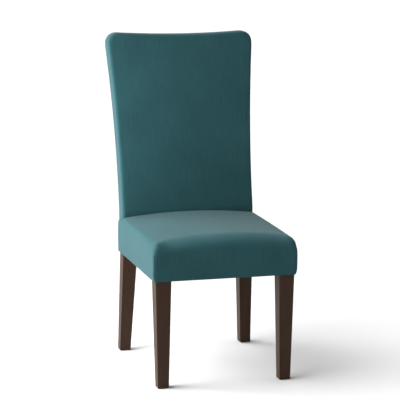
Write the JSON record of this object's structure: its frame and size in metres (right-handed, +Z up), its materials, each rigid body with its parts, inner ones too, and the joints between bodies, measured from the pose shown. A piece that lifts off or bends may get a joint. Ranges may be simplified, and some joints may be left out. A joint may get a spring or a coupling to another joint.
{
  "type": "parsons chair",
  "caption": "Armless dining side chair with a tall reclined upholstered back, a tight upholstered seat with a rolled front, and tapered dark wooden legs.",
  "frame": {"origin": "on the floor, under the middle of the chair", "axes": "+Z up, -Y the way the sitter faces, +X to the right of someone who looks at the chair's front"},
  "size_m": [0.498, 0.6149, 1.068],
  "materials": {
    "dark_wood": "satin",
    "frame_wood": "matte",
    "steel": "satin",
    "webbing": "matte",
    "jute_cloth": "matte",
    "foam": "matte",
    "wadding": "matte",
    "upholstery_fabric": "matte",
    "black_cloth": "matte"
  },
  "bodies": {
    "root": {"front_leg_left": "dark_wood", "front_leg_right": "dark_wood", "rear_post_left": "dark_wood", "rear_post_right": "dark_wood", "front_seat_rail": "frame_wood", "rear_seat_rail": "frame_wood", "side_rail_left": "frame_wood", "side_rail_right": "frame_wood", "corner_block_front_left": "frame_wood", "corner_block_front_right": "frame_wood", "corner_block_rear_left": "frame_wood", "corner_block_rear_right": "frame_wood", "back_top_rail": "frame_wood", "back_lower_rail": "frame_wood", "rail_dowels": "frame_wood", "back_rail_dowels": "frame_wood", "corner_block_screws": "steel", "leg_hanger_bolts": "steel", "leg_bolt_washers": "steel", "leg_bolt_nuts": "steel", "glide_front_left": "steel", "glide_front_right": "steel", "glide_rear_left": "steel", "glide_rear_right": "steel", "outside_back_top_strip": "steel", "outside_back_side_strip_left": "steel", "outside_back_side_strip_right": "steel", "dust_cover_staples": "steel", "seat_webbing_lengthwise": "webbing", "seat_webbing_crosswise": "webbing", "back_webbing_upright": "webbing", "back_webbing_crosswise": "webbing", "seat_deck_cloth": "jute_cloth", "back_deck_cloth": "jute_cloth", "seat_foam": "foam", "back_foam": "foam", "seat_wadding": "wadding", "back_wadding": "wadding", "outside_back_wadding": "wadding", "seat_cover": "upholstery_fabric", "back_cover": "upholstery_fabric", "outside_back_cover": "upholstery_fabric", "dust_cover": "black_cloth"}
  },
  "joints": []
}
